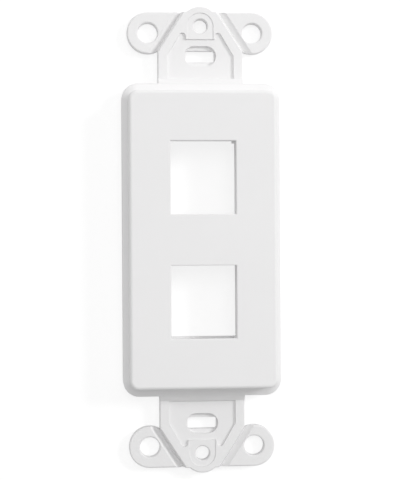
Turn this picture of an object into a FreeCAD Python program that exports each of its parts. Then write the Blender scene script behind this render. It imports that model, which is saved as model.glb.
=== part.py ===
"""A two-port decorator insert, moulded in one piece.

X is the width, Z the length, and the front faces -Y. The origin is the middle of the two
box-screw slots, on the plane that the strap's back lies against the wall. Heights are
counted from that plane towards the front. Everything is in millimetres.
"""

import FreeCAD
import Part
import Sketcher

import math
import os
import re

# The driving dimensions, one row each: name, value, what it is.
SIZES = {
    "plate_screw_spacing": (96.84, "between the two wall-plate screw holes"),
    "box_screw_spacing": (83.34, "between the two box-screw slots"),
    "strap_width": (19.25, "the strap's straight part"),
    "strap_front": (3.0, "the strap's front over the wall plane"),
    "shoulder_rise": (1.75, "from a box screw's centre out to the shoulder where the strap narrows"),
    "shoulder_slant": (33.0, "angle of the narrowing sides from the length"),
    "end_radius": (4.4, "round end about a plate screw"),
    "ear_spacing_x": (23.8, "ear holes across"),
    "ear_spacing_z": (94.0, "ear holes along"),
    "ear_radius": (4.7, "round end of an ear"),
    "ear_front": (2.0, "an ear's front over the wall plane"),
    "ear_hole": (4.5, "diameter"),
    "ear_round": (0.35, "rounded front edge of an ear and its hole"),
    "strap_round": (0.25, "rounded front edge of the strap"),
    "groove_steep": (0.5, "run of the break-off groove's steep wall, on the strap's side"),
    "groove_gentle": (1.3, "run of its gentle wall, up to the ear's front"),
    "groove_floor": (0.1, "width of its floor"),
    "groove_web": (1.1, "what the groove leaves to snap"),
    "plate_hole": (3.2, "diameter, for a cutting screw"),
    "hole_rim": (0.2, "bevel at the mouth of a plate-screw hole"),
    "seat_radius": (3.0, "shallow seat about a plate-screw hole, open to the recess"),
    "seat_depth": (0.15, "of that seat"),
    "relief_radius": (2.6, "round relief behind a plate-screw hole"),
    "relief_depth": (0.75, "of that relief"),
    "recess_width": (15.1, "shallow recess in the strap"),
    "recess_depth": (0.5, "of that recess"),
    "recess_end": (3.75, "from a box screw's centre out to the recess's straight end"),
    "lobe_reach": (4.45, "from a box screw's centre out to a lobe's centre"),
    "lobe_offset": (4.05, "a lobe's centre from the middle line"),
    "lobe_radius": (0.75, "of the two lobes that end the recess"),
    "slot_length": (7.2, "box-screw slot at the recess floor"),
    "slot_height": (4.5, "box-screw slot at the recess floor"),
    "lip_depth": (0.9, "from the recess floor down to the slot's lips"),
    "grip_length": (6.6, "gap between the lips that holds a screw"),
    "grip_height": (2.6, "gap between the lips that holds a screw"),
    "grip_corner": (0.5, "corner radius of that gap"),
    "flange_width": (35.8, "outer edge of the frame"),
    "flange_height": (70.6, "outer edge of the frame"),
    "flange_corner": (3.6, "corner radius of the frame's outer edge"),
    "flange_edge": (3.95, "height of the frame's outer edge"),
    "flange_rise": (1.05, "how far the flange climbs to the raised body"),
    "flange_round": (0.3, "rounded front edge of the flange"),
    "ramp_run": (1.2, "length of the slope between strap and flange"),
    "body_width": (33.2, "raised body that fills the wall plate's window"),
    "body_height": (66.5, "raised body that fills the wall plate's window"),
    "body_corner": (2.0, "corner radius of the raised body"),
    "body_front": (9.5, "the face over the wall plane"),
    "body_round": (0.8, "rounded front edge of the raised body"),
    "face_wall": (2.0, "thickness of the face"),
    "side_wall": (1.8, "thickness of the raised body's sides"),
    "port_width": (14.6, "jack opening"),
    "port_height": (16.3, "jack opening"),
    "port_pitch": (27.7, "between the jack openings' centres"),
    "port_round": (0.2, "rounded front edge of a jack opening"),
    "cheek_depth": (3.8, "depth at which the opening's side cheeks end"),
    "cheek": (0.7, "width of each side cheek"),
    "sleeve_wall": (1.5, "thickness of the sleeve about a jack"),
    "latch_room": (3.0, "space above the opening for the jack's spring latch"),
    "hook_room": (1.6, "space below the opening for the jack's fixed hook"),
    "catch": (1.5, "thickness of the two catches at the sleeve's back"),
    "latch_catch": (1.2, "the upper catch's edge above the opening's edge"),
    "lead_in": (0.6, "bevel on the catches' back edges"),
    "rib": (1.2, "thickness of the ribs behind the face"),
    "rib_back": (1.5, "how far the ribs stop short of the wall plane"),
}

NODE = "decorator_insert"

# Places that several features share, as sums of the sizes.
BOX_SCREW = "box_screw_spacing / 2"
PLATE_SCREW = "plate_screw_spacing / 2"
EAR_Z = "ear_spacing_z / 2"
SHOULDER = "box_screw_spacing / 2 + shoulder_rise"
RAMP_FOOT = "flange_height / 2 + ramp_run"
RECESS_FLOOR = "strap_front - recess_depth"
FACE_BACK = "body_front - face_wall"
PORT_DOWN = "-port_pitch / 2"
SLEEVE_WIDTH = "port_width + 2 * cheek + 2 * sleeve_wall"
SLEEVE_TOP = "port_height / 2 + latch_room + sleeve_wall"
SLEEVE_BOTTOM = "port_height / 2 + hook_room + sleeve_wall"
OVERLAP = "side_wall / 2"

doc = FreeCAD.newDocument("DecoratorInsert")


def make_sheet():
    """Write the driving dimensions into a sheet, each under its own name."""
    sheet = doc.addObject("Spreadsheet::Sheet", "Sizes")
    for row, (name, (value, note)) in enumerate(SIZES.items(), start=1):
        sheet.set(f"A{row}", name)
        sheet.set(f"B{row}", str(value))
        sheet.set(f"C{row}", note)
        sheet.setAlias(f"B{row}", name)
    doc.recompute()
    return sheet


sheet = make_sheet()
body = doc.addObject("PartDesign::Body", "Insert")
body.Label = NODE


def sized(text):
    """The sum with each size's name pointed at its cell."""
    return re.sub(r"[a-z]\w*", lambda m: f"Sizes.{m[0]}" if m[0] in SIZES else m[0], text)


def number(text):
    """The sum's present value."""
    return float(sheet.evalExpression(sized(text)))


def plane(role):
    """One of the body's three origin planes."""
    return next(f for f in body.Origin.OriginFeatures if f.Role == role)


class Outline:
    """A sketch whose points, centres and radii are all bound to the sizes."""

    def __init__(self, name, role="XZ_Plane", height="0"):
        self.sketch = body.newObject("Sketcher::SketchObject", name)
        self.sketch.AttachmentSupport = [(plane(role), "")]
        self.sketch.MapMode = "FlatFace"
        self.sketch.setExpression(".AttachmentOffset.Base.z", sized(height))

    def slant(self, across, along, angle):
        """Move the sketch's origin in its plane's own axes, and turn it about the second axis."""
        self.sketch.AttachmentOffset = FreeCAD.Placement(
            FreeCAD.Vector(number(across), 0, number(along)),
            FreeCAD.Rotation(FreeCAD.Vector(0, 1, 0), number(angle)),
        )
        self.sketch.setExpression(".AttachmentOffset.Base.x", sized(across))
        self.sketch.setExpression(".AttachmentOffset.Base.z", sized(along))
        return self

    def bind(self, kind, where, text):
        """Add one dimension, and tie it to its sum."""
        index = self.sketch.addConstraint(Sketcher.Constraint(kind, *where, number(text)))
        self.sketch.setExpression(f"Constraints[{index}]", sized(text))

    def fix_point(self, geometry, end, point):
        self.bind("DistanceX", (geometry, end), point[0])
        self.bind("DistanceY", (geometry, end), point[1])

    def join(self, kind, first, second):
        self.sketch.addConstraint(Sketcher.Constraint(kind, first[0], first[1], second[0], second[1]))

    def line(self, start, end):
        ends = [FreeCAD.Vector(x, y, 0) for x, y in (start, end)]
        return self.sketch.addGeometry(Part.LineSegment(*ends), False)

    def arc(self, centre, radius, first, last):
        """An arc between two angles in degrees, with its centre and radius bound."""
        x, y = (number(t) for t in centre)
        circle = Part.Circle(FreeCAD.Vector(x, y, 0), FreeCAD.Vector(0, 0, 1), number(radius))
        turn = Part.ArcOfCircle(circle, math.radians(first), math.radians(last))
        index = self.sketch.addGeometry(turn, False)
        self.fix_point(index, 3, centre)
        self.bind("Radius", (index,), radius)
        return index

    def polygon(self, points):
        """Straight sides through the points, in order."""
        places = [tuple(number(t) for t in p) for p in points]
        lines = [self.line(a, b) for a, b in zip(places, places[1:] + places[:1])]
        for index, point in zip(lines, points):
            self.fix_point(index, 1, point)
        for a, b in zip(lines, lines[1:] + lines[:1]):
            self.join("Coincident", (a, 2), (b, 1))
        return self.sketch

    def rectangle(self, left, right, low, high):
        return self.polygon([(left, low), (right, low), (right, high), (left, high)])

    def rounded(self, width, height, corner, middle="0"):
        """A rectangle with round corners, its middle on the second axis."""
        across, along = f"({width}) / 2 - ({corner})", f"({height}) / 2 - ({corner})"
        high, low = f"{middle} + {along}", f"{middle} - ({along})"
        centres = [(across, high), (f"-({across})", high), (f"-({across})", low), (across, low)]
        return self.arcs_and_lines([(c, corner, q * 90, q * 90 + 90) for q, c in enumerate(centres)])

    def stadium(self, centre_y, half, radius):
        """Two half circles joined by straight sides, along the first axis."""
        ends = [((half, centre_y), radius, -90, 90), ((f"-({half})", centre_y), radius, 90, 270)]
        return self.arcs_and_lines(ends)

    def arcs_and_lines(self, turns):
        """Each arc is joined to the next by a line that runs on from both."""
        arcs = [self.arc(*turn) for turn in turns]
        for a, b in zip(arcs, arcs[1:] + arcs[:1]):
            ends = self.sketch.Geometry[a].EndPoint, self.sketch.Geometry[b].StartPoint
            side = self.line(*[(p.x, p.y) for p in ends])
            self.join("Tangent", (a, 2), (side, 1))
            self.join("Tangent", (side, 2), (b, 1))
        return self.sketch

    def circle(self, centre, diameter):
        x, y = (number(t) for t in centre)
        ring = Part.Circle(FreeCAD.Vector(x, y, 0), FreeCAD.Vector(0, 0, 1), number(diameter) / 2)
        index = self.sketch.addGeometry(ring, False)
        self.fix_point(index, 3, centre)
        self.bind("Diameter", (index,), diameter)
        return self.sketch


def volume():
    """What the body holds now, to see that a feature adds or cuts."""
    doc.recompute()
    return body.Shape.Volume if body.Tip else 0.0


def extrude(kind, name, sketch, length, middle=False, backwards=False, slant=None):
    """A pad towards the front, or a pocket towards the back, from its sketch."""
    before = volume()
    feature = body.newObject(f"PartDesign::{kind}", name)
    feature.Profile = sketch
    feature.setExpression("Length", sized(length))
    feature.Midplane = middle
    feature.Reversed = backwards
    if slant:
        feature.setExpression("TaperAngle", sized(slant))
    sketch.Visibility = False
    change = volume() - before
    if change * (1 if kind == "Pad" else -1) <= 0:
        raise RuntimeError(f"{name} changes nothing: {change:.3f} mm3")
    return feature


def repeat(kind, name, originals, **settings):
    """A mirror or a pattern of the features, which becomes the body's tip."""
    feature = body.newObject(f"PartDesign::{kind}", name)
    feature.Originals = originals
    for key, value in settings.items():
        setattr(feature, key, value)
    body.Tip = feature
    doc.recompute()
    return feature


def ears_outline():
    """Two round ears, joined by a straight crown above and inside the strap below."""
    draw = Outline("ears_outline")
    right = draw.arc(("ear_spacing_x / 2", EAR_Z), "ear_radius", -180, 90)
    left = draw.arc(("-ear_spacing_x / 2", EAR_Z), "ear_radius", 90, 360)
    ends = [(draw.sketch.Geometry[i].StartPoint, draw.sketch.Geometry[i].EndPoint) for i in (right, left)]
    crown = draw.line((ends[0][1].x, ends[0][1].y), (ends[1][0].x, ends[1][0].y))
    hidden = draw.line((ends[1][1].x, ends[1][1].y), (ends[0][0].x, ends[0][0].y))
    draw.join("Tangent", (right, 2), (crown, 1))
    draw.join("Tangent", (crown, 2), (left, 1))
    draw.join("Coincident", (left, 2), (hidden, 1))
    draw.join("Coincident", (hidden, 2), (right, 1))
    draw.bind("DistanceY", (hidden, 1), EAR_Z)
    draw.bind("DistanceY", (hidden, 2), EAR_Z)
    return draw.sketch


def strap_end():
    """The strap's upper end: ears, narrowing middle and round tip, and the ramp to the flange."""
    ears = extrude("Pad", "ears", ears_outline(), "ear_front")

    half = "strap_width / 2"
    crown = f"{EAR_Z} + ear_radius"
    narrow = f"{half} - ({crown} - ({SHOULDER})) * tan(shoulder_slant)"
    root = f"flange_height / 2 - {OVERLAP}"
    middle = Outline("strap_outline").polygon([
        (f"-({half})", root), (half, root), (half, SHOULDER),
        (narrow, crown), (f"-({narrow})", crown), (f"-({half})", SHOULDER),
    ])
    middle = extrude("Pad", "strap", middle, "strap_front")

    tip = Outline("tip_outline").circle(("0", PLATE_SCREW), "2 * end_radius")
    tip = extrude("Pad", "tip", tip, "strap_front")

    slope = Outline("ramp_profile", "YZ_Plane").polygon([
        ("-strap_front / 2", RAMP_FOOT), ("-strap_front", RAMP_FOOT),
        ("-flange_edge", "flange_height / 2"), ("-flange_edge", root),
        ("-strap_front / 2", root),
    ])
    slope = extrude("Pad", "ramp", slope, "strap_width", middle=True)
    return [ears, middle, tip, slope]


def break_off_groove(side):
    """The groove that lets one ear be snapped off: a steep wall by the strap, a gentle one by the ear."""
    place, sign = ("left", "-") if side < 0 else ("right", "")
    mirror = "-" if side < 0 else ""
    start = "ear_radius / 2"
    draw = Outline(f"groove_profile_{place}", "XY_Plane")
    draw.slant(
        f"{sign}(strap_width / 2 + {start} * tan(shoulder_slant))",
        f"{SHOULDER} - {start}",
        "shoulder_slant" if side < 0 else "-shoulder_slant",
    )
    far = "groove_floor + groove_gentle * (strap_front - groove_web) / (ear_front - groove_web)"
    profile = draw.polygon([
        (f"-({mirror}groove_steep)", "-strap_front"), ("0", "-groove_web"),
        (f"{mirror}groove_floor", "-groove_web"), (f"{mirror}({far})", "-strap_front"),
    ])
    return extrude("Pocket", f"groove_{place}", profile, "3 * ear_radius", backwards=True)


def screw_recess():
    """The shallow recess about the box screw, which ends in two round lobes."""
    wide = number("recess_width / 2")
    foot, bend = number(RAMP_FOOT), number(BOX_SCREW)
    stop = number(f"{BOX_SCREW} + recess_end")
    draw = Outline("recess_outline", height="strap_front")
    lobe = "lobe_offset", f"{BOX_SCREW} + lobe_reach"
    centre_x, centre_y, radius = number(lobe[0]), number(lobe[1]), number("lobe_radius")

    # the angle at which the slanted side touches the lobe
    away = math.atan2(bend - centre_y, wide - centre_x)
    touch = away + math.acos(radius / math.hypot(bend - centre_y, wide - centre_x))
    touch_x, touch_y = centre_x + radius * math.cos(touch), centre_y + radius * math.sin(touch)

    right = draw.arc(lobe, "lobe_radius", math.degrees(touch), 180)
    left = draw.arc((f"-({lobe[0]})", lobe[1]), "lobe_radius", 0, 180 - math.degrees(touch))
    near = centre_x - radius
    base = draw.line((-wide, foot), (wide, foot))
    rise = draw.line((wide, foot), (wide, bend))
    slant = draw.line((wide, bend), (touch_x, touch_y))
    drop = draw.line((near, centre_y), (near, stop))
    edge = draw.line((near, stop), (-near, stop))
    climb = draw.line((-near, stop), (-near, centre_y))
    lean = draw.line((-touch_x, touch_y), (-wide, bend))
    fall = draw.line((-wide, bend), (-wide, foot))

    half = "recess_width / 2"
    inner = "lobe_offset - lobe_radius"
    straight_end = f"{BOX_SCREW} + recess_end"
    draw.fix_point(base, 1, (f"-({half})", RAMP_FOOT))
    draw.fix_point(rise, 1, (half, RAMP_FOOT))
    draw.fix_point(slant, 1, (half, BOX_SCREW))
    draw.fix_point(edge, 1, (inner, straight_end))
    draw.fix_point(climb, 1, (f"-({inner})", straight_end))
    draw.fix_point(fall, 1, (f"-({half})", BOX_SCREW))
    corners = (base, rise), (rise, slant), (drop, edge), (edge, climb), (lean, fall), (fall, base)
    for first, second in corners:
        draw.join("Coincident", (first, 2), (second, 1))
    for first, second in ((slant, right), (right, drop), (climb, left), (left, lean)):
        draw.join("Tangent", (first, 2), (second, 1))
    return extrude("Pocket", "recess", draw.sketch, "recess_depth")


def screw_slot():
    """The box-screw slot: a round-ended mouth down to two lips, and the gap between them."""
    mouth = Outline("slot_outline", height=RECESS_FLOOR)
    mouth = mouth.stadium(BOX_SCREW, "(slot_length - slot_height) / 2", "slot_height / 2")
    mouth = extrude("Pocket", "slot_mouth", mouth, "lip_depth")

    gap = Outline("gap_outline", height=RECESS_FLOOR)
    gap = gap.rounded("grip_length", "grip_height", "grip_corner", middle=BOX_SCREW)
    gap = extrude("Pocket", "slot_gap", gap, "strap_front")
    return [mouth, gap]


def seat_outline():
    """Round about the plate screw, and straight from there down into the recess."""
    draw = Outline("seat_outline", height="strap_front")
    radius, middle = number("seat_radius"), number(PLATE_SCREW)
    foot = f"{BOX_SCREW} + recess_end - lobe_radius"
    arch = draw.arc(("0", PLATE_SCREW), "seat_radius", 0, 180)
    left = draw.line((-radius, middle), (-radius, number(foot)))
    base = draw.line((-radius, number(foot)), (radius, number(foot)))
    right = draw.line((radius, number(foot)), (radius, middle))
    draw.join("Tangent", (arch, 2), (left, 1))
    draw.join("Coincident", (left, 2), (base, 1))
    draw.join("Coincident", (base, 2), (right, 1))
    draw.join("Tangent", (right, 2), (arch, 1))
    draw.fix_point(base, 1, ("-seat_radius", foot))
    draw.fix_point(base, 2, ("seat_radius", foot))
    return draw.sketch


def screw_holes():
    """The plate-screw hole with its seat, bevelled mouth and relief, and the two ear holes."""
    seat = extrude("Pocket", "screw_seat", seat_outline(), "seat_depth")

    seat_height = "strap_front - seat_depth"
    rim = Outline("rim_outline", height=seat_height).circle(("0", PLATE_SCREW), "plate_hole + 2 * hole_rim")
    rim = extrude("Pocket", "hole_rim", rim, "hole_rim", slant="-45")

    bore = Outline("plate_hole_outline", height="strap_front").circle(("0", PLATE_SCREW), "plate_hole")
    bore = extrude("Pocket", "plate_hole", bore, "2 * strap_front")

    relief = Outline("back_relief_outline").circle(("0", PLATE_SCREW), "2 * relief_radius")
    relief = extrude("Pocket", "back_relief", relief, "relief_depth", backwards=True)

    holes = []
    for side, sign in (("left", "-"), ("right", "")):
        hole = Outline(f"ear_hole_outline_{side}", height="strap_front")
        hole = hole.circle((f"{sign}ear_spacing_x / 2", EAR_Z), "ear_hole")
        holes.append(extrude("Pocket", f"ear_hole_{side}", hole, "2 * strap_front"))
    return [seat, rim, bore, relief, *holes]


def flange():
    """The frame's outer block, up to its outer edge."""
    edge = Outline("flange_outline").rounded("flange_width", "flange_height", "flange_corner")
    extrude("Pad", "flange", edge, "flange_edge")


def raised_body():
    """The slope that climbs from the flange's edge, and the raised body on it."""
    low = Outline("slope_foot", height="flange_edge")
    low = low.rounded("flange_width", "flange_height", "flange_corner")
    high = Outline("slope_top", height="flange_edge + flange_rise")
    high = high.rounded("body_width", "body_height", "body_corner")
    slope = body.newObject("PartDesign::AdditiveLoft", "flange_slope")
    slope.Profile = low
    slope.Sections = [high]
    slope.Ruled = True
    doc.recompute()

    raised = Outline("body_outline").rounded("body_width", "body_height", "body_corner")
    extrude("Pad", "raised_body", raised, "body_front")


def soften(name, radius, wanted):
    """Round all edges that are wanted."""
    chosen = [f"Edge{index}" for index, edge in enumerate(body.Shape.Edges, start=1) if wanted(edge)]
    base, before = body.Tip, volume()
    rounding = body.newObject("PartDesign::Fillet", name)
    rounding.Base = (base, chosen)
    rounding.setExpression("Radius", sized(radius))
    body.Tip = rounding
    if volume() >= before:
        raise RuntimeError(f"{name} rounds nothing: {len(chosen)} edges")


def at_height(edge, height):
    """Whether an edge runs all along at this height."""
    return all(abs(point.y + number(height)) < 1e-4 for point in edge.discretize(5))


def soften_frame():
    """Round the raised body's front edge and the flange's outer edge."""
    soften("front_rounding", "body_round", lambda edge: at_height(edge, "body_front"))
    soften("flange_rounding", "flange_round", lambda edge: at_height(edge, "flange_edge"))


def beyond_shoulder(point):
    """How far a point lies outward from the strap's slanted side."""
    slant = math.radians(number("shoulder_slant"))
    across, along = abs(point.x) - number("strap_width / 2"), abs(point.z) - number(SHOULDER)
    return across * math.cos(slant) + along * math.sin(slant)


def on_ear(edge):
    """Whether an edge is an ear's front outline or its hole's rim."""
    middle = edge.discretize(3)[1]
    crown = abs(middle.z) > number(f"{EAR_Z} + ear_radius") - 1e-4
    outline = crown or edge.Curve.TypeId == "Part::GeomCircle"
    return at_height(edge, "ear_front") and outline and edge.Length > number("ear_round")


def on_strap(edge):
    """Whether an edge is part of the strap's front outline, from the shoulders to the tip."""
    middle = edge.discretize(3)[1]
    side = abs(abs(middle.x) - number("strap_width / 2")) < 1e-4
    slanted = abs(beyond_shoulder(middle) + number("groove_steep")) < 1e-4
    crown = abs(middle.z) > number(f"{EAR_Z} + ear_radius") - 1e-4
    return at_height(edge, "strap_front") and (side or slanted or crown)


def soften_ends():
    """Round the front edges of the ears, their holes and the strap."""
    soften("ear_rounding", "ear_round", on_ear)
    soften("strap_rounding", "strap_round", on_strap)


def hollow_back():
    """Empty the raised body from behind, down to the face."""
    room = Outline("hollow_outline").rounded(
        "body_width - 2 * side_wall", "body_height - 2 * side_wall", "body_corner / 2"
    )
    extrude("Pocket", "hollow", room, FACE_BACK, backwards=True)


def ribs():
    """Ribs from the jack sleeves out to the body's walls."""
    inside = f"body_width / 2 - {OVERLAP}"
    reach = f"{FACE_BACK} + face_wall / 2 - rib_back"
    for place, centre in (("upper", "port_pitch / 2"), ("lower", "-port_pitch / 2")):
        bar = Outline(f"rib_outline_{place}", height="rib_back")
        bar = bar.rectangle(f"-({inside})", inside, f"{centre} - rib / 2", f"{centre} + rib / 2")
        extrude("Pad", f"rib_{place}", bar, reach)
    spine_end = f"body_height / 2 - {OVERLAP}"
    spine = Outline("spine_outline", height="rib_back")
    spine = spine.rectangle("-rib / 2", "rib / 2", f"-({spine_end})", spine_end)
    extrude("Pad", "rib_spine", spine, reach)


def jack_port():
    """The lower jack sleeve: outer walls, the opening with its catches, and the side relief."""
    half = f"({SLEEVE_WIDTH}) / 2"
    sleeve = Outline("sleeve_outline")
    sleeve = sleeve.rectangle(
        f"-({half})", half, f"{PORT_DOWN} - ({SLEEVE_BOTTOM})", f"{PORT_DOWN} + {SLEEVE_TOP}"
    )
    sleeve = extrude("Pad", "sleeve", sleeve, "body_front - face_wall / 2")

    top, bottom = f"{PORT_DOWN} + port_height / 2", f"{PORT_DOWN} - port_height / 2"
    inner = f"-({FACE_BACK})"
    past_front, past_back = "-body_front - face_wall", "face_wall"
    through = Outline("port_profile", "YZ_Plane").polygon([
        (past_front, bottom), (inner, bottom), (inner, f"{bottom} - hook_room"),
        ("-catch", f"{bottom} - hook_room"), ("-catch", bottom), ("-lead_in", bottom),
        ("0", f"{bottom} - lead_in"), (past_back, f"{bottom} - lead_in"),
        (past_back, f"{top} + latch_catch + lead_in"), ("0", f"{top} + latch_catch + lead_in"),
        ("-lead_in", f"{top} + latch_catch"), ("-catch", f"{top} + latch_catch"),
        ("-catch", f"{top} + latch_room"), (inner, f"{top} + latch_room"),
        (inner, top), (past_front, top),
    ])
    through = extrude("Pocket", "port", through, "port_width", middle=True)

    wide = "port_width / 2 + cheek"
    relief = Outline("relief_outline", height="body_front - cheek_depth")
    relief = relief.rectangle(f"-({wide})", wide, bottom, top)
    relief = extrude("Pocket", "side_relief", relief, "body_front - cheek_depth + face_wall")
    return [sleeve, through, relief]


def on_port(edge):
    """Whether an edge is the mouth of a jack opening."""
    middle = edge.discretize(3)[1]
    return at_height(edge, "body_front") and abs(middle.x) < number("port_width / 2") + 1e-4


def build():
    flange()
    raised_body()
    soften_frame()
    outward = strap_end()
    outward += [break_off_groove(-1), break_off_groove(1), screw_recess()]
    outward += screw_slot() + screw_holes()
    repeat("Mirrored", "lower_strap_end", outward, MirrorPlane=(plane("XY_Plane"), [""]))

    soften_ends()
    hollow_back()
    ribs()
    port = jack_port()
    along = next(f for f in body.Origin.OriginFeatures if f.Role == "Z_Axis")
    upper = repeat("LinearPattern", "upper_port", port, Direction=(along, [""]), Occurrences=2)
    upper.setExpression("Length", sized("port_pitch"))
    doc.recompute()
    soften("port_rounding", "port_round", on_port)


def write():
    """Check every object and the solid, then write the piece."""
    failed = [o.Name for o in doc.Objects if {"Invalid", "Error"} & set(o.State)]
    if failed:
        raise RuntimeError(f"these failed: {failed}")
    shape = body.Shape
    if shape.isNull() or not shape.isValid() or len(shape.Solids) != 1:
        raise RuntimeError(f"{NODE} is not one sound solid: {len(shape.Solids)} solids")
    os.makedirs("parts", exist_ok=True)
    shape.exportStep(f"parts/{NODE}.step")
    box = shape.optimalBoundingBox(False)
    print(f"{NODE}: {shape.Volume:.1f} mm3, {len(shape.Faces)} faces")
    print(f"{box.XLength:.2f} wide, {box.YLength:.2f} deep, {box.ZLength:.2f} long")


build()
write()
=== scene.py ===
"""Looks of a two-port decorator insert: its moulded white plastic, a white studio and the camera.

Everything is in metres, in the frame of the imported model: X runs across, Z along the length,
and the front faces -Y.
"""

import math

import bpy
import numpy as np
from mathutils import Euler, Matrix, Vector


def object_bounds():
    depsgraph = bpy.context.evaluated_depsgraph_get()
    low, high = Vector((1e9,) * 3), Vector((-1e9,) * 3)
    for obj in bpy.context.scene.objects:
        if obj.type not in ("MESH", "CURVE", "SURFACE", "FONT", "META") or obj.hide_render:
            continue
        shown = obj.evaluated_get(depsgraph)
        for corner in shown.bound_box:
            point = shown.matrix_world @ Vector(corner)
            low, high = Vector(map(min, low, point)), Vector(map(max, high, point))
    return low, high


bl_info = {
    "name": "Decorator Insert Looks",
    "version": (1, 0, 0),
    "blender": (4, 5, 0),
    "location": "View3D > Sidebar > Insert",
    "description": "Moulded plastic, studio and camera for a two-port decorator insert",
    "category": "Object",
}

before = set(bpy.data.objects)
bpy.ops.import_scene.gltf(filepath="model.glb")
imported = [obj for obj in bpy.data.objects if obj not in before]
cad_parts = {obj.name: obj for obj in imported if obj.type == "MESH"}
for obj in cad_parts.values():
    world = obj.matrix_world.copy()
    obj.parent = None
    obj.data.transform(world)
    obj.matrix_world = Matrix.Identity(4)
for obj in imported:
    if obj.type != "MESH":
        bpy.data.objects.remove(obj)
CAD_LOW, CAD_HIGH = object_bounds()

INSERT = "decorator_insert"
PLASTIC = "white_plastic"
PLASTIC_IOR = 1.5
CLOUD_CONTRAST = 0.015
CLOUD_TO_SMEAR = 5
SMEAR_GLOSS = 0.08
GRAIN_GLOSS = 0.06
CLOUD_DETAIL = 3.0
GRAIN_DETAIL = 2.0
GRAIN_HARSHNESS = 0.6
BEVEL_SAMPLES = 4

PHOTO_LONG_SIDE = 480
PHOTO_CENTRE = (200.0, 240.0)
SENSOR = 36.0
MILLIMETRES = 1000
NEAREST_SEEN = 0.01

WHITE = (1.0, 1.0, 1.0, 1.0)
BACKDROP_SIDE = 0.14
FLOOR_SIDE = 1.2
SHEET_POINTS = 3


class PlasticSettings(bpy.types.PropertyGroup):
    """The insert's moulded plastic."""

    colour: bpy.props.FloatVectorProperty(
        name="Colour",
        description="Colour of the plastic",
        subtype="COLOR",
        size=3,
        min=0.0,
        max=1.0,
        default=(0.86, 0.856, 0.858),
    )
    roughness: bpy.props.FloatProperty(
        name="Roughness",
        description="Mean roughness of the moulded surface",
        subtype="FACTOR",
        min=0.0,
        max=1.0,
        default=0.55,
    )
    grain: bpy.props.FloatProperty(
        name="Grain",
        description="Width of the fine texture that the mould leaves",
        subtype="DISTANCE",
        unit="LENGTH",
        precision=6,
        default=0.00028,
    )
    grain_depth: bpy.props.FloatProperty(
        name="Grain depth",
        description="Depth of the fine texture",
        subtype="DISTANCE",
        unit="LENGTH",
        precision=7,
        default=0.000003,
    )
    clouds: bpy.props.FloatProperty(
        name="Clouds",
        description="Width of the faint clouds that the flowing plastic leaves",
        subtype="DISTANCE",
        unit="LENGTH",
        precision=4,
        default=0.014,
    )
    edge_radius: bpy.props.FloatProperty(
        name="Edge radius",
        description="Rounding with which sharp edges catch the light",
        subtype="DISTANCE",
        unit="LENGTH",
        precision=5,
        default=0.00015,
    )


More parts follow.
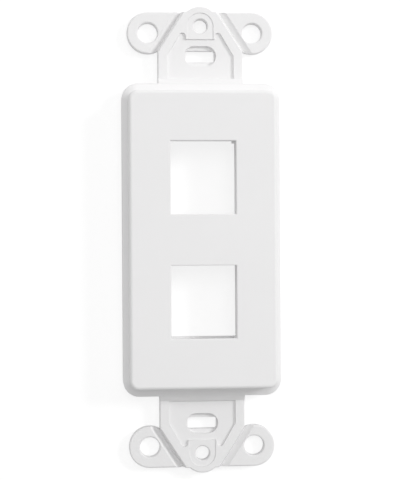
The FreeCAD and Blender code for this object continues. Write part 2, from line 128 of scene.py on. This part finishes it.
class StudioSettings(bpy.types.PropertyGroup):
    """Lamps, surrounding light, backdrop and floor."""

    key: bpy.props.FloatProperty(
        name="Key",
        description="Brightness that the small box on the right alone gives a white surface facing it",
        min=0.0,
        default=0.4,
    )
    key_side: bpy.props.FloatProperty(
        name="Key side",
        description="Angle of the small box to the right of the front",
        subtype="ANGLE",
        unit="ROTATION",
        default=math.radians(50),
    )
    key_rise: bpy.props.FloatProperty(
        name="Key rise",
        description="Angle of the small box above the insert",
        subtype="ANGLE",
        unit="ROTATION",
        default=math.radians(18),
    )
    key_size: bpy.props.FloatProperty(
        name="Key size",
        description="Side of the small box",
        subtype="DISTANCE",
        unit="LENGTH",
        default=0.35,
    )
    front: bpy.props.FloatProperty(
        name="Front",
        description="Brightness that the soft box in front alone gives a white surface facing it",
        min=0.0,
        default=0.19,
    )
    fill: bpy.props.FloatProperty(
        name="Fill",
        description="Brightness that the soft box on the left alone gives a white surface facing it",
        min=0.0,
        default=0.05,
    )
    fill_side: bpy.props.FloatProperty(
        name="Fill side",
        description="Angle of the soft box on the left to the left of the front",
        subtype="ANGLE",
        unit="ROTATION",
        default=math.radians(75),
    )
    fill_rise: bpy.props.FloatProperty(
        name="Fill rise",
        description="Angle of the soft boxes in front and on the left above the insert",
        subtype="ANGLE",
        unit="ROTATION",
        default=math.radians(12),
    )
    top: bpy.props.FloatProperty(
        name="Top",
        description="Brightness that the soft box overhead alone gives a white surface facing it",
        min=0.0,
        default=0.137,
    )
    top_rise: bpy.props.FloatProperty(
        name="Top rise",
        description="Angle of the soft box overhead above the insert",
        subtype="ANGLE",
        unit="ROTATION",
        default=math.radians(80),
    )
    box_size: bpy.props.FloatProperty(
        name="Box size",
        description="Side of each soft box but the small one",
        subtype="DISTANCE",
        unit="LENGTH",
        default=0.84,
    )
    box_distance: bpy.props.FloatProperty(
        name="Box distance",
        description="From the insert to each soft box",
        subtype="DISTANCE",
        unit="LENGTH",
        default=1.4,
    )
    surround: bpy.props.FloatProperty(
        name="Surround",
        description="Brightness of the even light from all round",
        min=0.0,
        default=0.48,
    )
    backdrop_gap: bpy.props.FloatProperty(
        name="Backdrop gap",
        description="From the insert's back to the backdrop",
        subtype="DISTANCE",
        unit="LENGTH",
        default=0.0005,
    )
    paper_glow: bpy.props.FloatProperty(
        name="Paper glow",
        description="Part of the paper's white that no shadow reaches",
        subtype="FACTOR",
        min=0.0,
        max=1.0,
        default=0.715,
    )
    paper_shade: bpy.props.FloatProperty(
        name="Paper shade",
        description="Part of the paper's white that shadows take away",
        subtype="FACTOR",
        min=0.0,
        max=1.0,
        default=0.37,
    )
    backdrop_spill: bpy.props.FloatProperty(
        name="Backdrop spill",
        description="Brightness with which the backdrop lights the insert from behind",
        min=0.0,
        default=0.3,
    )
    backdrop_bounce: bpy.props.FloatProperty(
        name="Backdrop bounce",
        description="Share of its light that the backdrop throws back on the insert",
        subtype="FACTOR",
        min=0.0,
        max=1.0,
        default=0.5,
    )
    floor_gap: bpy.props.FloatProperty(
        name="Floor gap",
        description="From the insert's lower end to the floor",
        subtype="DISTANCE",
        unit="LENGTH",
        default=0.006,
    )
    floor_bounce: bpy.props.FloatProperty(
        name="Floor bounce",
        description="Share of its light that the floor throws back on the insert",
        subtype="FACTOR",
        min=0.0,
        max=1.0,
        default=0.5,
    )


class ViewpointSettings(bpy.types.PropertyGroup):
    """Where the photograph was taken from."""

    distance: bpy.props.FloatProperty(
        name="Distance",
        description="From the strap's middle to the camera",
        subtype="DISTANCE",
        unit="LENGTH",
        default=0.31,
    )
    side: bpy.props.FloatProperty(
        name="Side",
        description="Angle of the camera to the left of the front",
        subtype="ANGLE",
        unit="ROTATION",
        default=math.radians(4.93),
    )
    rise: bpy.props.FloatProperty(
        name="Rise",
        description="Angle of the camera above the insert",
        subtype="ANGLE",
        unit="ROTATION",
        default=math.radians(0.11),
    )
    lean: bpy.props.FloatProperty(
        name="Lean",
        description="Angle by which the insert leans to the left in the picture",
        subtype="ANGLE",
        unit="ROTATION",
        default=math.radians(0.342),
    )
    scale: bpy.props.FloatProperty(
        name="Scale",
        description="Pixels to a millimetre at the strap",
        default=4.405,
    )
    middle: bpy.props.FloatVectorProperty(
        name="Middle",
        description="Pixel at which the strap's middle lies, across and down",
        size=2,
        default=(201.2, 239.71),
    )
    strap_rise: bpy.props.FloatProperty(
        name="Strap rise",
        description="Height of the strap's front over the wall, where the scale holds",
        subtype="DISTANCE",
        unit="LENGTH",
        precision=4,
        default=0.0025,
    )


class Wire:
    """A node's output in a shader. Arithmetic on it adds Math nodes."""

    def __init__(self, shader, socket):
        self.shader = shader
        self.socket = socket

    def math(self, operation, first, second):
        """A Math node's output for two values, of which this wire is one."""
        return self.shader.add("ShaderNodeMath", {"operation": operation}, {0: first, 1: second})

    def __add__(self, other):
        return self.math("ADD", self, other)

    def __radd__(self, other):
        return self.math("ADD", other, self)

    def __sub__(self, other):
        return self.math("SUBTRACT", self, other)

    def __rsub__(self, other):
        return self.math("SUBTRACT", other, self)

    def __mul__(self, other):
        return self.math("MULTIPLY", self, other)

    def __rmul__(self, other):
        return self.math("MULTIPLY", other, self)


class Shader:
    """The node tree of a material or of the world, made new."""

    def __init__(self, owner):
        owner.use_nodes = True
        self.tree = owner.node_tree
        self.tree.nodes.clear()

    def add(self, kind, settings=None, sockets=None, output=0):
        """Add a node of a kind, with its settings first and then its sockets' values or links.

        Sockets are named by their identifiers or places. The named or numbered output comes back.
        """
        node = self.tree.nodes.new(kind)
        for name, value in (settings or {}).items():
            setattr(node, name, value)
        places = {socket.identifier: place for place, socket in enumerate(node.inputs)}
        for key, value in (sockets or {}).items():
            socket = node.inputs[places.get(key, key)]
            if isinstance(value, Wire):
                self.tree.links.new(value.socket, socket)
            else:
                socket.default_value = value
        return Wire(self, node.outputs[output]) if node.outputs else None

    def noise(self, width, detail, roughness=0.5):
        """Noise from 0 to 1 whose clouds are about as wide as width, fixed to the piece."""
        place = self.add("ShaderNodeTexCoord", output="Object")
        sockets = {"Vector": place, "Scale": 1 / width, "Detail": detail, "Roughness": roughness}
        return self.add("ShaderNodeTexNoise", sockets=sockets, output="Fac")

    def blend(self, share, first, second):
        """The colour that lies by share between two colours."""
        settings = {"data_type": "RGBA"}
        sockets = {"Factor_Float": share, "A_Color": first, "B_Color": second}
        return self.add("ShaderNodeMix", settings, sockets, output=2)

    def seen(self, *rays):
        """1 for rays of these kinds, such as the camera's, and 0 for all others."""
        outputs = self.add("ShaderNodeLightPath").socket.node.outputs
        shown = Wire(self, outputs[f"Is {rays[0]} Ray"])
        for ray in rays[1:]:
            shown = shown.math("MAXIMUM", shown, Wire(self, outputs[f"Is {ray} Ray"]))
        return shown


def shade(colour, gain):
    """A colour with its alpha, lightened or darkened by gain."""
    return (*(min(1.0, part * gain) for part in colour), 1.0)


def moulded_plastic(settings):
    """Satin white plastic: mould grain, faint flow clouds, uneven gloss and softened edges."""
    material = bpy.data.materials.new(PLASTIC)
    shader = Shader(material)
    clouds = shader.noise(settings.clouds, CLOUD_DETAIL)
    smears = shader.noise(settings.clouds / CLOUD_TO_SMEAR, CLOUD_DETAIL)
    grain = shader.noise(settings.grain, GRAIN_DETAIL, GRAIN_HARSHNESS)
    dark = shade(settings.colour, 1 - CLOUD_CONTRAST)
    light = shade(settings.colour, 1 + CLOUD_CONTRAST)
    colour = shader.blend(clouds, dark, light)
    roughness = settings.roughness + SMEAR_GLOSS * (smears - 0.5) + GRAIN_GLOSS * (grain - 0.5)
    edges = shader.add("ShaderNodeBevel", {"samples": BEVEL_SAMPLES}, {"Radius": settings.edge_radius})
    relief = shader.add(
        "ShaderNodeBump",
        sockets={"Distance": settings.grain_depth, "Height": grain, "Normal": edges},
    )
    surface = shader.add(
        "ShaderNodeBsdfPrincipled",
        sockets={"Base Color": colour, "Roughness": roughness, "Normal": relief, "IOR": PLASTIC_IOR},
    )
    shader.add("ShaderNodeOutputMaterial", sockets={"Surface": surface})
    return material


def studio_paper(name, settings, bounce, spill):
    """White paper for the stage: to the camera it glows in part, so it is white but takes shadows.

    The insert meets paper that throws back a share of its light, given as bounce. With a spill the
    paper also shines evenly on the insert, and it doesn't show from behind.
    """
    material = bpy.data.materials.new(name)
    shader = Shader(material)
    lit = shader.add("ShaderNodeBsdfDiffuse", sockets={"Color": shade(WHITE[:3], settings.paper_shade)})
    glowing = shader.add("ShaderNodeEmission", sockets={"Color": WHITE, "Strength": settings.paper_glow})
    white = shader.add("ShaderNodeAddShader", sockets={0: lit, 1: glowing})
    plain = shader.add("ShaderNodeBsdfDiffuse", sockets={"Color": shade(WHITE[:3], bounce)})
    if spill:
        shine = shader.add("ShaderNodeEmission", sockets={"Color": WHITE, "Strength": spill})
        plain = shader.add("ShaderNodeAddShader", sockets={0: plain, 1: shine})
    shown = shader.seen("Camera")
    surface = shader.add("ShaderNodeMixShader", sockets={0: shown, 1: plain, 2: white})
    if spill:
        behind = shader.add("ShaderNodeNewGeometry", output="Backfacing")
        clear = shader.add("ShaderNodeBsdfTransparent")
        surface = shader.add("ShaderNodeMixShader", sockets={0: behind, 1: surface, 2: clear})
    shader.add("ShaderNodeOutputMaterial", sockets={"Surface": surface})
    return material


def flat_sheet(name, corner, across, along, material):
    """A flat sheet of the stage: point(u, v) = corner + u * across + v * along, u and v from 0 to 1."""
    share = np.linspace(0, 1, SHEET_POINTS)
    u, v = np.meshgrid(share, share)
    points = np.asarray(corner) + u[..., None] * np.asarray(across) + v[..., None] * np.asarray(along)
    cells = np.arange(SHEET_POINTS - 1)
    first = (cells[:, None] * SHEET_POINTS + cells).ravel()
    above = first + SHEET_POINTS
    faces = np.stack([first, first + 1, above + 1, above], axis=1)
    mesh = bpy.data.meshes.new(name)
    mesh.from_pydata(points.reshape(-1, 3).tolist(), [], faces.tolist())
    mesh.materials.append(material)
    sheet = bpy.data.objects.new(name, mesh)
    bpy.context.scene.collection.objects.link(sheet)


def direction(side, rise):
    """The way from the insert that turns by side to the right of its front, and by rise upwards."""
    return Vector((
        math.sin(side) * math.cos(rise),
        -math.cos(side) * math.cos(rise),
        math.sin(rise),
    ))


def soft_box_power(brightness, size, distance):
    """Watts with which a square lamp gives a white surface facing it that brightness.

    The share of the surface's view that the lamp fills is (4 / pi) * t * atan(t), where t is
    x / sqrt(1 + x * x) and x is half the lamp's side over its distance.
    """
    x = size / 2 / distance
    t = x / math.sqrt(1 + x * x)
    filled = 4 / math.pi * t * math.atan(t)
    return brightness * math.pi * size * size / filled


def soft_box(name, brightness, size, distance, side, rise):
    """A square lamp that lights the insert from side to the right of its front, and from rise above."""
    lamp = bpy.data.lights.new(name, "AREA")
    lamp.size = size
    lamp.energy = soft_box_power(brightness, size, distance)
    box = bpy.data.objects.new(name, lamp)
    bpy.context.scene.collection.objects.link(box)
    box.visible_camera = False
    aim(box, distance * direction(side, rise), (0, 0, 0))


def aim(thing, place, target, lean=0.0):
    """Put a camera or lamp at a place, look at a target, and turn it about its view by lean."""
    thing.rotation_mode = "QUATERNION"
    turn = (Vector(target) - Vector(place)).to_track_quat("-Z", "Y")
    thing.rotation_quaternion = turn @ Euler((0, 0, -lean)).to_quaternion()
    thing.location = place


class DECORATOR_OT_viewpoint(bpy.types.Operator):
    """Put the camera where the photograph was taken from"""

    bl_idname = "decorator.viewpoint"
    bl_label = "Camera"

    def execute(self, context):
        settings = context.scene.decorator_viewpoint
        camera = bpy.data.cameras.new("photo_camera")
        camera.sensor_width = SENSOR
        camera.lens = settings.scale * MILLIMETRES * settings.distance * SENSOR / PHOTO_LONG_SIDE
        camera.shift_x = (PHOTO_CENTRE[0] - settings.middle[0]) / PHOTO_LONG_SIDE
        camera.shift_y = (settings.middle[1] - PHOTO_CENTRE[1]) / PHOTO_LONG_SIDE
        camera.clip_start = NEAREST_SEEN
        seat = bpy.data.objects.new("photo_camera", camera)
        context.scene.collection.objects.link(seat)
        target = Vector((0, -settings.strap_rise, 0))
        towards = direction(-settings.side, settings.rise)
        aim(seat, target + settings.distance * towards, target, settings.lean)
        context.scene.camera = seat
        return {"FINISHED"}


class DECORATOR_OT_plastic(bpy.types.Operator):
    """Give the insert its moulded plastic"""

    bl_idname = "decorator.plastic"
    bl_label = "Plastic"

    def execute(self, context):
        material = moulded_plastic(context.scene.decorator_plastic)
        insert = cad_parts[INSERT]
        for slot in insert.material_slots:
            slot.material = material
        return {"FINISHED"}


class DECORATOR_OT_studio(bpy.types.Operator):
    """Set up the lamps, the surrounding light, the backdrop and the floor"""

    bl_idname = "decorator.studio"
    bl_label = "Studio"

    def execute(self, context):
        settings = context.scene.decorator_studio
        self.light_boxes(settings)
        self.light_surround(context, settings)
        self.hang_backdrop(settings)
        self.lay_floor(settings)
        context.scene.view_settings.view_transform = "Standard"
        return {"FINISHED"}

    def light_boxes(self, settings):
        """A small box stands on the right, large ones in front and on the left, and one hangs overhead."""
        large = settings.box_size
        boxes = (
            ("key_box", settings.key, settings.key_size, settings.key_side, settings.key_rise),
            ("front_box", settings.front, large, 0, settings.fill_rise),
            ("fill_box", settings.fill, large, -settings.fill_side, settings.fill_rise),
            ("top_box", settings.top, large, 0, settings.top_rise),
        )
        for name, brightness, size, side, rise in boxes:
            soft_box(name, brightness, size, settings.box_distance, side, rise)

    def light_surround(self, context, settings):
        """The world is white to the eye and in reflections, and lights the insert less."""
        world = bpy.data.worlds.new("white_room")
        context.scene.world = world
        shader = Shader(world)
        shown = shader.seen("Camera", "Glossy", "Transmission")
        strength = settings.surround + (1 - settings.surround) * shown
        room = shader.add("ShaderNodeBackground", sockets={"Color": WHITE, "Strength": strength})
        shader.add("ShaderNodeOutputWorld", sockets={"Surface": room})

    def hang_backdrop(self, settings):
        """White paper right behind the insert takes the soft shadows that the photograph shows."""
        paper = studio_paper("backdrop_paper", settings, settings.backdrop_bounce, settings.backdrop_spill)
        back = CAD_HIGH[1] + settings.backdrop_gap
        side = BACKDROP_SIDE
        flat_sheet("backdrop", (-side / 2, back, -side / 2), (side, 0, 0), (0, 0, side), paper)

    def lay_floor(self, settings):
        """A pale floor lies just under the insert's lower end, out of the photograph."""
        paper = studio_paper("floor_paper", settings, settings.floor_bounce, 0.0)
        under = CAD_LOW[2] - settings.floor_gap
        side = FLOOR_SIDE
        flat_sheet("floor", (-side / 2, -side / 2, under), (side, 0, 0), (0, side, 0), paper)


class DECORATOR_PT_looks(bpy.types.Panel):
    """The insert's looks, step by step"""

    bl_idname = "DECORATOR_PT_looks"
    bl_label = "Decorator Insert"
    bl_space_type = "VIEW_3D"
    bl_region_type = "UI"
    bl_category = "Insert"

    def draw(self, context):
        for group, operator in STEPS:
            box = self.layout.box()
            box.operator(operator.bl_idname)
            settings = getattr(context.scene, group)
            for name in settings.__annotations__:
                box.prop(settings, name)


GROUPS = {
    "decorator_viewpoint": ViewpointSettings,
    "decorator_plastic": PlasticSettings,
    "decorator_studio": StudioSettings,
}
STEPS = [
    ("decorator_viewpoint", DECORATOR_OT_viewpoint),
    ("decorator_plastic", DECORATOR_OT_plastic),
    ("decorator_studio", DECORATOR_OT_studio),
]
CLASSES = [*GROUPS.values(), *(operator for _, operator in STEPS), DECORATOR_PT_looks]


def register():
    for cls in CLASSES:
        bpy.utils.register_class(cls)
    for name, group in GROUPS.items():
        setattr(bpy.types.Scene, name, bpy.props.PointerProperty(type=group))


def unregister():
    for name in GROUPS:
        delattr(bpy.types.Scene, name)
    for cls in reversed(CLASSES):
        bpy.utils.unregister_class(cls)


def main():
    """Make the looks in order."""
    register()
    bpy.ops.decorator.viewpoint()
    bpy.ops.decorator.plastic()
    bpy.ops.decorator.studio()


if __name__ == "__main__":
    main()
